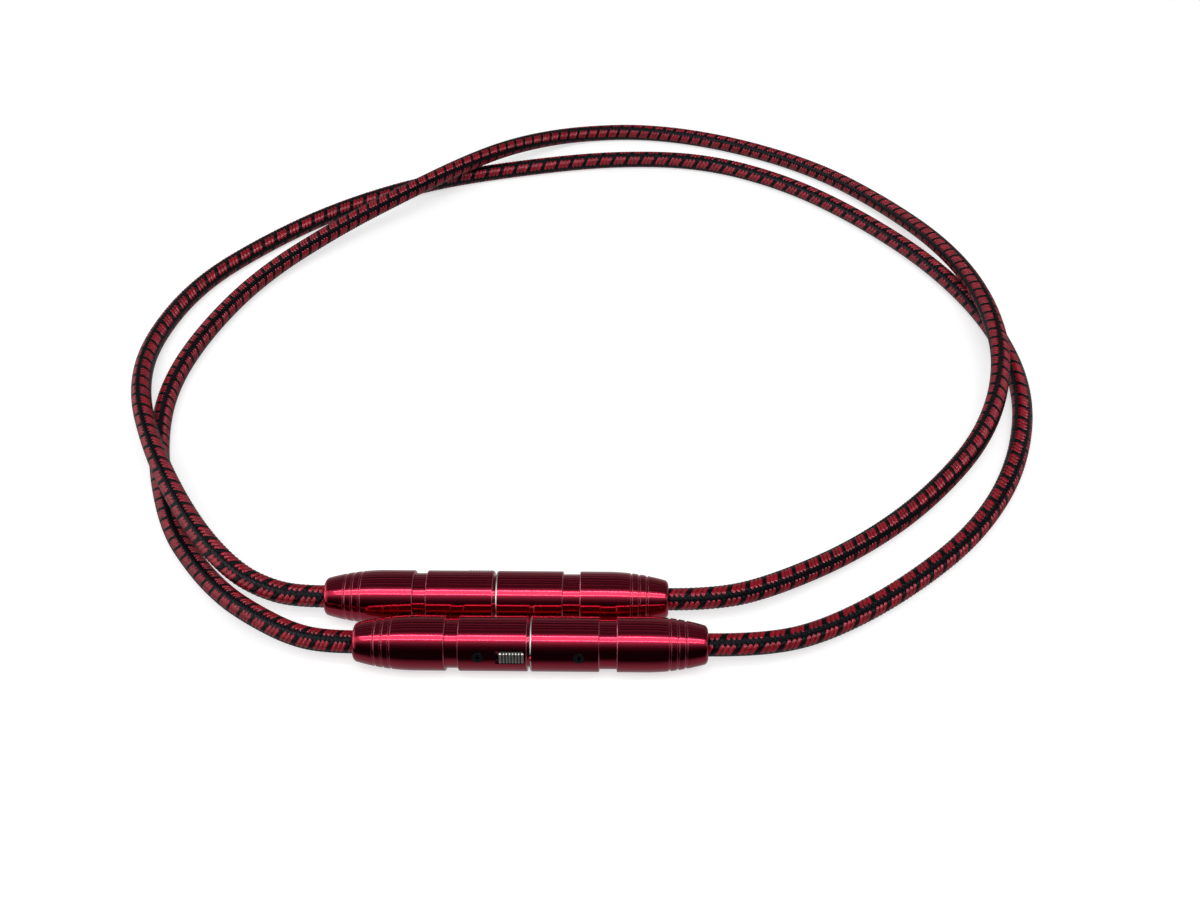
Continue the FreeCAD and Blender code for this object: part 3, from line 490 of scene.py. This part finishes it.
def strands(line, centres, handed):
    """Vertices, faces and texture places of lens-shaped floats."""
    u, v = (grid.ravel() for grid in np.meshgrid(STEPS_ALONG, STEPS_ACROSS, indexing="ij"))
    phi = u * FLOAT_REACH
    lift = WEAVE_RISE - WEAVE_FALL * (phi / FLOAT_UNDER) ** 4 + WEAVE_SHIFT * handed
    stations, angles, radii, places = [], [], [], []
    for station, lane, lead, _ in centres:
        pitch = lead / (2 * math.pi)
        slope = math.hypot(pitch, WEAVE_RADIUS)
        # across a strand, square to its run on the unrolled surface
        half = 0.5 * lead / STRANDS * WEAVE_RADIUS / slope
        side_s, side_t = WEAVE_RADIUS / slope, -handed * pitch / slope
        stations.append(station + handed * phi * pitch + v * half * side_s)
        angles.append(lane + phi + v * half * side_t / WEAVE_RADIUS)
        radii.append(WEAVE_RADIUS + lift + STRAND_CROWN * (1 - v ** 2))
        places.append(np.column_stack([u * 0.5 + 0.5, v * 0.5 + 0.5]))
    # floats that would run on past a plug's mouth end in it
    stations = np.clip(np.concatenate(stations), 0.0, line.length)
    verts = line.around(stations, np.concatenate(angles), np.concatenate(radii))
    quads = []
    for i in range(ALONG):
        for j in range(ACROSS):
            a = i * (ACROSS + 1) + j
            quads.append((a, a + ACROSS + 1, a + ACROSS + 2, a + 1))
    quads = np.array(quads if handed > 0 else [q[::-1] for q in quads])
    count = (ALONG + 1) * (ACROSS + 1)
    faces = (quads[None] + (np.arange(len(centres)) * count)[:, None, None]).reshape(-1, 4)
    return verts, faces, np.concatenate(places)


def braid(name, line, centres, handed, is_red):
    """One mesh with all floats of one hand."""
    verts, faces, places = strands(line, centres, handed)
    colours = np.repeat([int(not is_red(strand)) for *_, strand in centres], ALONG * ACROSS)
    made = place_mesh(name, verts, faces.tolist(), [RED_YARN, BLACK_YARN],
                      face_materials=colours)
    layer = made.data.uv_layers.new(name="strand")
    layer.data.foreach_set("uv", places[faces.ravel()].ravel())
    return made


# How long a stretch of the cable follows its male plug, and how far from the centreline the
# points of that stretch can lie
FOLLOW, BESIDE = 0.11, 0.007


def follow_plug(made, line, plug):
    """Let the last stretch before the male plug bend as that plug slides away."""
    start, end = line.at(np.array([line.length - FOLLOW]))[0][0], line.points[-1]
    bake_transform(made, "root", plug, start=tuple(start), end=tuple(end))
    # the loop also passes beside that stretch elsewhere, and there it stays with the floor
    places = np.empty(len(made.data.vertices) * 3)
    made.data.vertices.foreach_get("co", places)
    weights = made.data.attributes["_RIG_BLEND"].data
    values = np.empty(len(weights), np.float32)
    weights.foreach_get("value", values)
    moved = np.where(values > 0.0)[0]
    places = places.reshape(-1, 3)[moved]
    gap = np.full(len(moved), np.inf)
    for near in line.points[line.stations > line.length - FOLLOW][::4]:
        gap = np.minimum(gap, np.linalg.norm(places - near, axis=1))
    values[moved[gap > BESIDE]] = 0.0
    weights.foreach_set("value", values)


def cable(name, points, lane_table, lead_table, plug, nodes):
    """One cable, from its female plug to its male plug: the core and both hands of the braid."""
    line = Line(points)
    lanes = [(s * MM, a) for s, a in lane_table]
    leads = [(s * MM, p * MM) for s, p in lead_table]
    tube = core(name + "_core", line, nodes)
    # three strands of every four are red in one hand, and the other hand is black
    layers = [braid(name + "_right_strands", line, floats(line, lanes, leads, 1), 1,
                    lambda strand: strand % 4 != 3),
              braid(name + "_left_strands", line, floats(line, lanes, leads, -1), -1,
                    lambda strand: False)]
    for made in [tube] + layers:
        follow_plug(made, line, plug)


# Lane angles: station along the cable in mm, and degrees from up towards the loop's outside.
# Leads: station, and the length of one full turn of a strand, both in mm.
cable("cable_one", CABLE_ONE, [
    (0, 74), (83, 51), (129, 37), (177, 32), (224, 19), (271, 5), (314, -5), (377, -15),
    (427, -37), (477, -62), (521, -84), (611, -99), (714, -115), (742, -117), (799, -145),
    (845, -160), (886, -171), (924, -181), (990, -183)],
    [(0, 11.6), (945, 11.6), (990, 14.6)], "back_male_plug",
    ["cable_one_cord", "cable_one_cord_end"])
cable("cable_two", CABLE_TWO, [
    (0, 80), (45, 66), (100, 56), (300, 49), (420, 30), (500, 19), (560, 4), (690, 0),
    (760, 3), (800, -10), (830, -22), (980, -18)],
    [(0, 14.9), (980, 14.9)], "front_male_plug",
    ["cable_two_cord", "cable_two_cord_end"])


# Plugs: outlines in mm, as (along, radius, size of the round on that corner)
CHAMFER, ROUND = 0.3, 0.06
FEMALE_FRONT, MALE_FRONT = 31.75, 31.05     # where a tail meets its shell's waist
FEMALE_WAIST, MALE_WAIST = 4.4, 5.85        # widths
WAIST = 8.5                                 # radius
SPIGOT, SPIGOT_BORE, SPIGOT_LENGTH = 8.0, 6.2, 8.4
SEAT = LENGTH - 22.0                        # the step in both shells that the inserts lie on
FEMALE_RIM = LENGTH - 0.8
NOSE, NOSE_BORE, NOSE_TIP = 7.95, 6.95, FEMALE_RIM + 14.2
MALE_BORE = 8.1
BEVEL_START = LENGTH - 0.67                 # of the male shell's bare lip

# Tails: a long curve from full diameter down to the cable end, which is rounded
TAPER_LENGTH, END_RADIUS, TAIL_ROUND = 21.45, 6.37, 1.8
DROP = BARREL - END_RADIUS
CURVE = (TAPER_LENGTH ** 2 + DROP ** 2) / (2 * DROP)
# the bores, from the shell's end: a socket for its spigot, the collet's chamber, a cone, and the
# cable's bore
SOCKET, SOCKET_LENGTH = 8.05, 8.7
CHAMBER, CHAMBER_START = 6.7, 16.45
CABLE_BORE, CABLE_BORE_LENGTH = 4.25, 6.5
# ring grooves: the middle of the first, their depth, and how far their walls and lips run along
RINGS, FIRST_RING, RING_STEP = 3, 7.55, 2.75
RING_WIDTH, RING_DEPTH, RING_WALL, RING_LIP = 0.8, 0.33, 0.17, 0.05
CURVE_STEP = 0.9        # between the points of the long curve

FEMALE_SHELL = [
    (FEMALE_FRONT - SPIGOT_LENGTH, SPIGOT_BORE, 0), (FEMALE_FRONT - SPIGOT_LENGTH, SPIGOT, 0.1),
    (FEMALE_FRONT, SPIGOT, 0), (FEMALE_FRONT, WAIST, 0.05),
    (FEMALE_FRONT + FEMALE_WAIST, WAIST, 0.08),
    (FEMALE_FRONT + FEMALE_WAIST, BARREL - CHAMFER, ROUND),
    (FEMALE_FRONT + FEMALE_WAIST + CHAMFER, BARREL, ROUND), (FEMALE_RIM - CHAMFER, BARREL, ROUND),
    (FEMALE_RIM, BARREL - CHAMFER, ROUND), (FEMALE_RIM, NOSE, 0.08),
    (NOSE_TIP - CHAMFER, NOSE, 0.1), (NOSE_TIP, NOSE - CHAMFER, 0.1),
    (NOSE_TIP, NOSE_BORE, 0.05), (SEAT, NOSE_BORE, 0), (SEAT, SPIGOT_BORE, 0),
]
MALE_SHELL = [
    (MALE_FRONT - SPIGOT_LENGTH, SPIGOT_BORE, 0), (MALE_FRONT - SPIGOT_LENGTH, SPIGOT, 0.1),
    (MALE_FRONT, SPIGOT, 0), (MALE_FRONT, WAIST, 0.05), (MALE_FRONT + MALE_WAIST, WAIST, 0.08),
    (MALE_FRONT + MALE_WAIST, BARREL - CHAMFER, ROUND),
    (MALE_FRONT + MALE_WAIST + CHAMFER, BARREL, ROUND), (BEVEL_START, BARREL, ROUND),
    (LENGTH - 0.26, 9.32, 0.15), (LENGTH, 8.83, ROUND),
    (LENGTH, MALE_BORE, 0.05), (SEAT, MALE_BORE, 0), (SEAT, SPIGOT_BORE, 0),
]


def tail_radius(along):
    return BARREL - CURVE + math.sqrt(CURVE ** 2 - (TAPER_LENGTH - along) ** 2)


def tail_outline(front):
    """The tail's outline: round end, ring grooves in the long curve, and the bores."""
    outline = [(0.0, CABLE_BORE, 0.1)]
    slope = math.asin(TAPER_LENGTH / CURVE)
    touch = TAIL_ROUND * (1 - math.sin(slope))
    centre = tail_radius(touch) - TAIL_ROUND * math.cos(slope)
    for step in range(7):
        a = (math.pi / 2 - slope) * step / 6
        outline.append((TAIL_ROUND * (1 - math.cos(a)), centre + TAIL_ROUND * math.sin(a), 0))
    for ring in range(RINGS):
        start = FIRST_RING + RING_STEP * ring - RING_WIDTH / 2
        end = start + RING_WIDTH
        outline += [(x, tail_radius(x), 0)
                    for x in np.arange(outline[-1][0] + CURVE_STEP, start - 0.5, CURVE_STEP)]
        outline += [(start - RING_LIP, tail_radius(start - RING_LIP), 0.12),
                    (start + RING_WALL, tail_radius(start) - RING_DEPTH, 0.08),
                    (end - RING_WALL, tail_radius(end) - RING_DEPTH, 0.08),
                    (end + RING_LIP, tail_radius(end + RING_LIP), 0.12)]
    outline += [(x, tail_radius(x), 0)
                for x in np.linspace(outline[-1][0] + CURVE_STEP, TAPER_LENGTH, 8)]
    outline += [(front - CHAMFER, BARREL, ROUND), (front, BARREL - CHAMFER, ROUND),
                (front, SOCKET, 0), (front - SOCKET_LENGTH, SOCKET, 0),
                (front - SOCKET_LENGTH, CHAMBER, 0), (CHAMBER_START, CHAMBER, 0),
                (CABLE_BORE_LENGTH, CABLE_BORE, 0)]
    return outline


ARC_STEPS = 4


def rounded(outline):
    """Turn (along, radius, round) corners into points, with an arc on each rounded corner."""
    points = []
    count = len(outline)
    for index, (x, r, size) in enumerate(outline):
        here = Vector((x, r))
        if size == 0:
            points.append(here)
            continue
        back = Vector(outline[index - 1][:2]) - here
        ahead = Vector(outline[(index + 1) % count][:2]) - here
        reach = min(size, back.length * 0.45, ahead.length * 0.45)
        first, last = here + back.normalized() * reach, here + ahead.normalized() * reach
        for step in range(ARC_STEPS + 1):
            t = step / ARC_STEPS
            points.append(first * (1 - t) ** 2 + here * 2 * t * (1 - t) + last * t ** 2)
    return points


SEGMENTS = 144


def lathe(name, outline):
    """A solid turned round X, and the points of its outline."""
    profile = rounded(outline)
    verts, faces = [], []
    for x, r in profile:
        for k in range(SEGMENTS):
            a = 2 * math.pi * k / SEGMENTS
            verts.append((x, r * math.sin(a), r * math.cos(a)))
    count = len(profile)
    for i in range(count):
        for k in range(SEGMENTS):
            a, b = i * SEGMENTS + k, i * SEGMENTS + (k + 1) % SEGMENTS
            c, d = (b + SEGMENTS) % (count * SEGMENTS), (a + SEGMENTS) % (count * SEGMENTS)
            faces.append((a, b, c, d))
    data = bpy.data.meshes.new(name)
    data.from_pydata(verts, [], faces)
    data.update()
    work = bmesh.new()
    work.from_mesh(data)
    bmesh.ops.recalc_face_normals(work, faces=work.faces)
    work.to_mesh(data)
    work.free()
    made = bpy.data.objects.new(name, data)
    scene.collection.objects.link(made)
    return made, profile


def box_cutter(low, high):
    """A box between two corners."""
    work = bmesh.new()
    bmesh.ops.create_cube(work, size=1.0)
    for v in work.verts:
        v.co = Vector([low[k] if v.co[k] < 0 else high[k] for k in range(3)])
    return work


def round_cutter(along, radius, low, high):
    """A cylinder standing on the plug's latch side."""
    work = bmesh.new()
    bmesh.ops.create_cone(work, cap_ends=True, segments=48, radius1=radius, radius2=radius,
                          depth=high - low,
                          matrix=Matrix.Translation((along, 0, (low + high) / 2)))
    return work


def cut(made, cutters):
    """Cut shapes out of a solid."""
    for index, work in enumerate(cutters):
        data = bpy.data.meshes.new("cutter")
        work.to_mesh(data)
        work.free()
        tool = bpy.data.objects.new("cutter", data)
        scene.collection.objects.link(tool)
        modifier = made.modifiers.new("cut%d" % index, "BOOLEAN")
        modifier.object = tool
        modifier.operation = "DIFFERENCE"
        modifier.solver = "EXACT"
        bpy.context.view_layer.update()
        result = bpy.data.meshes.new_from_object(
            made.evaluated_get(bpy.context.evaluated_depsgraph_get()))
        made.modifiers.clear()
        old = made.data
        made.data = result
        bpy.data.meshes.remove(old)
        bpy.data.objects.remove(tool)
        bpy.data.meshes.remove(data)


# Which run of the outline a face belongs to: normals in one plane through the axis count as alike
# from this cosine on, and those that aren't put it far away; then how near it has to lie, in mm,
# how little it may lean round the axis, and how near a corner is to a point of the outline
ALIKE, UNLIKE_MISS, RUN_GAP, LEAN_ROUND, POINT_GAP = 0.97, 9.0, 0.03, 0.09, 0.01
SMOOTH_ANGLE = math.radians(32)     # between two runs that are shaded as one


def true_normals(data, profile):
    """Give the turned faces the exact normals of their outline, and leave the cuts flat."""
    points = np.array([tuple(p) for p in profile])
    runs = np.roll(points, -1, axis=0) - points
    lengths = np.linalg.norm(runs, axis=1)
    facing = np.column_stack([-runs[:, 1], runs[:, 0]]) / lengths[:, None]
    before = np.roll(facing, 1, axis=0)
    smooth = (facing * before).sum(1) > math.cos(SMOOTH_ANGLE)
    shared = np.where(smooth[:, None], facing + before, np.nan)
    shared /= np.linalg.norm(shared, axis=1)[:, None]

    count = len(data.polygons)
    centres, flat = np.empty(count * 3), np.empty(count * 3)
    data.polygons.foreach_get("center", centres)
    data.polygons.foreach_get("normal", flat)
    centres, flat = centres.reshape(-1, 3), flat.reshape(-1, 3)
    radial = centres[:, 1:] / np.linalg.norm(centres[:, 1:], axis=1)[:, None]
    around = flat[:, 1] * radial[:, 1] - flat[:, 2] * radial[:, 0]
    own = np.column_stack([flat[:, 0], (flat[:, 1:] * radial).sum(1)])
    place = np.column_stack([centres[:, 0], np.linalg.norm(centres[:, 1:], axis=1)])
    # the run of the outline that each face belongs to
    gap = place[:, None] - points[None]
    share = np.clip((gap * runs).sum(2) / lengths ** 2, 0, 1)
    miss = np.linalg.norm(gap - runs * share[..., None], axis=2)
    miss += UNLIKE_MISS * (own @ facing.T < ALIKE)
    run = miss.argmin(1)
    turned = (miss.min(1) < RUN_GAP) & (np.abs(around) < LEAN_ROUND)

    loops = len(data.loops)
    vertex = np.empty(loops, np.int64)
    data.loops.foreach_get("vertex_index", vertex)
    totals = np.empty(count, np.int64)
    data.polygons.foreach_get("loop_total", totals)
    face = np.repeat(np.arange(count), totals)
    co = np.empty(len(data.vertices) * 3)
    data.vertices.foreach_get("co", co)
    co = co.reshape(-1, 3)[vertex]
    spot = np.column_stack([co[:, 0], np.linalg.norm(co[:, 1:], axis=1)])
    normal = facing[run[face]]
    for end in (run[face], (run[face] + 1) % len(points)):
        near = (np.linalg.norm(points[end] - spot, axis=1) < POINT_GAP) & smooth[end]
        normal = np.where(near[:, None], shared[end], normal)
    out = co[:, 1:] / np.linalg.norm(co[:, 1:], axis=1)[:, None]
    exact = np.column_stack([normal[:, 0], out * normal[:, 1:]])
    data.polygons.foreach_set("use_smooth", [True] * count)
    data.normals_split_custom_set(np.where(turned[face][:, None], exact, flat[face]).tolist())


def plug_place(side, kind):
    """Where the frame of a plug lies in the row frame."""
    seam = -side * SEAM_OFFSET
    x = seam + (-LENGTH if kind == "female" else LENGTH)
    place = Matrix.Translation(Vector((x, side * PAIR_OFFSET, BARREL)) * MM)
    place = place @ Matrix.Rotation(-side * LATCH_LEAN, 4, "X")
    if kind == "male":
        place = place @ Matrix.Rotation(math.pi, 4, "Z")
    return place @ Matrix.Scale(MM, 4)


# Faces that get the lighter red of the painted glints are the outward ones whose normal leans
# this much along the axis, except on the tail's rounded end
EDGE_LEAN, OUTWARD, END_STRETCH = (0.45, 0.96), 0.2, 3.0


def finish_turned(made, profile, place, node, body, bare_from=math.inf):
    """Materials, normals and place for a turned piece; beyond bare_from its metal is bare."""
    data = made.data
    data.materials.clear()
    for item in (RED_METAL, RED_PAINTED_GLINT, RIM_METAL):
        data.materials.append(item)
    for face in data.polygons:
        x, *across = face.center
        outward = face.normal.yz.dot(across) / math.hypot(*across) > OUTWARD
        if x > bare_from:
            face.material_index = 2
        # chamfers and ring edges get the painted glint
        elif outward and x > END_STRETCH and EDGE_LEAN[0] < abs(face.normal.x) < EDGE_LEAN[1]:
            face.material_index = 1
    true_normals(data, profile)
    data.transform(place)
    data.update()
    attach(made, body)
    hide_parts(node)


# Cuts on the latch side, as the lowest and highest corners of boxes
CUT_LOW, CUT_HIGH = 3.0, 12.0
TOOTH = LENGTH + 5.0
BUTTON_SLOT = ((LENGTH - 11.5, -2.5, CUT_LOW), (LENGTH - 1.7, 2.5, CUT_HIGH))
TOOTH_WINDOW = ((TOOTH - 0.3, -2.3, CUT_LOW), (TOOTH + 3.2, 2.3, CUT_HIGH))
KEY_SLOT = ((NOSE_TIP - 3.8, -1.6, CUT_LOW), (NOSE_TIP + 1, 1.6, CUT_HIGH))
TOOTH_POCKET = ((LENGTH - 8.2, -2.3, CUT_LOW), (LENGTH - 4.7, 2.3, 9.05))
RIM_NOTCH = ((BEVEL_START, -1.2, CUT_LOW), (LENGTH + 1, 1.2, CUT_HIGH))
# Set screws: their distance from the seam, the radii of their holes, and the head's seat
FEMALE_SCREW, MALE_SCREW = 17.4, 16.7
HEAD_HOLE, SHANK_HOLE, HEAD_SEAT = 1.95, 1.15, BARREL - 0.15 - 0.9


def screw_cutters(place):
    return [round_cutter(LENGTH - place, HEAD_HOLE, HEAD_SEAT, BARREL + 2),
            round_cutter(LENGTH - place, SHANK_HOLE, 2.0, HEAD_SEAT + 0.5)]


for pair, side in SIDES.items():
    place = plug_place(side, "female")
    shell, profile = lathe(pair + "_female_barrel", FEMALE_SHELL)
    cut(shell, [box_cutter(*box) for box in (BUTTON_SLOT, TOOTH_WINDOW, KEY_SLOT)]
        + screw_cutters(FEMALE_SCREW))
    finish_turned(shell, profile, place, pair + "_female_shell", "root")
    tail, profile = lathe(pair + "_female_sleeve", tail_outline(FEMALE_FRONT))
    finish_turned(tail, profile, place, pair + "_female_tail", "root")

    place = plug_place(side, "male")
    plug = pair + "_male_plug"
    shell, profile = lathe(pair + "_male_barrel", MALE_SHELL)
    cut(shell, [box_cutter(*box) for box in (TOOTH_POCKET, RIM_NOTCH)]
        + screw_cutters(MALE_SCREW))
    # the lip is bare metal from its rounded edge on
    finish_turned(shell, profile, place, pair + "_male_shell", plug, bare_from=BEVEL_START - 0.01)
    tail, profile = lathe(pair + "_male_sleeve", tail_outline(MALE_FRONT))
    finish_turned(tail, profile, place, pair + "_male_tail", plug)


# Each latch's leaf spring: its foot stays in the plug and the rest goes down with the button
LEAF_FOOT, LEAF_FLAT = LENGTH - 10.8, LENGTH - 7.8
WELD_GAP = 0.000002


def leaf(pair, side):
    """The solid's own mesh, welded so that it bends in one piece."""
    bpy.context.view_layer.update()
    node = NODES[pair + "_female_latch_spring"]
    verts = [node.matrix_world @ v.co for v in node.data.vertices]
    made = place_mesh(pair + "_female_leaf", verts, [tuple(p.vertices) for p in node.data.polygons],
                      [STEEL], smooth=False)
    work = bmesh.new()
    work.from_mesh(made.data)
    bmesh.ops.remove_doubles(work, verts=work.verts, dist=WELD_GAP)
    work.to_mesh(made.data)
    work.free()
    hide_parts(node.name)
    start, end = (plug_place(side, "female") @ Vector((x, 0, 0)) for x in (LEAF_FOOT, LEAF_FLAT))
    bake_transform(made, "root", pair + "_button", start=tuple(start), end=tuple(end))


for pair, side in SIDES.items():
    leaf(pair, side)


# The pieces that keep their solids: smooth shading with crisp edges, and their materials
BEVEL_WIDTH = {"latch_button": 0.00012, "set_screw": 0.00006}
BEVEL_ANGLE, CRISP_ANGLE = math.radians(35), math.radians(28)
FINISH = {
    "latch_button": NICKEL, "set_screw": BLACK_SCREW, "insert": INSERT,
    "sockets": GOLD, "pins": GOLD, "collet": COLLET, "leads": LEAD, "cable_end": JACKET,
}
for name, node in NODES.items():
    kind = name.split("_", 2)[-1]
    if kind not in FINISH:
        continue
    node.data.materials.clear()
    node.data.materials.append(FINISH[kind])
    node.data.polygons.foreach_set("use_smooth", [True] * len(node.data.polygons))
    weld = node.modifiers.new("weld", "WELD")
    weld.merge_threshold = WELD_GAP
    if kind in BEVEL_WIDTH:
        bevel = node.modifiers.new("bevel", "BEVEL")
        bevel.width = BEVEL_WIDTH[kind]
        bevel.segments = 3
        bevel.limit_method = "ANGLE"
        bevel.angle_limit = BEVEL_ANGLE
    crisp = node.modifiers.new("crisp", "EDGE_SPLIT")
    crisp.split_angle = CRISP_ANGLE
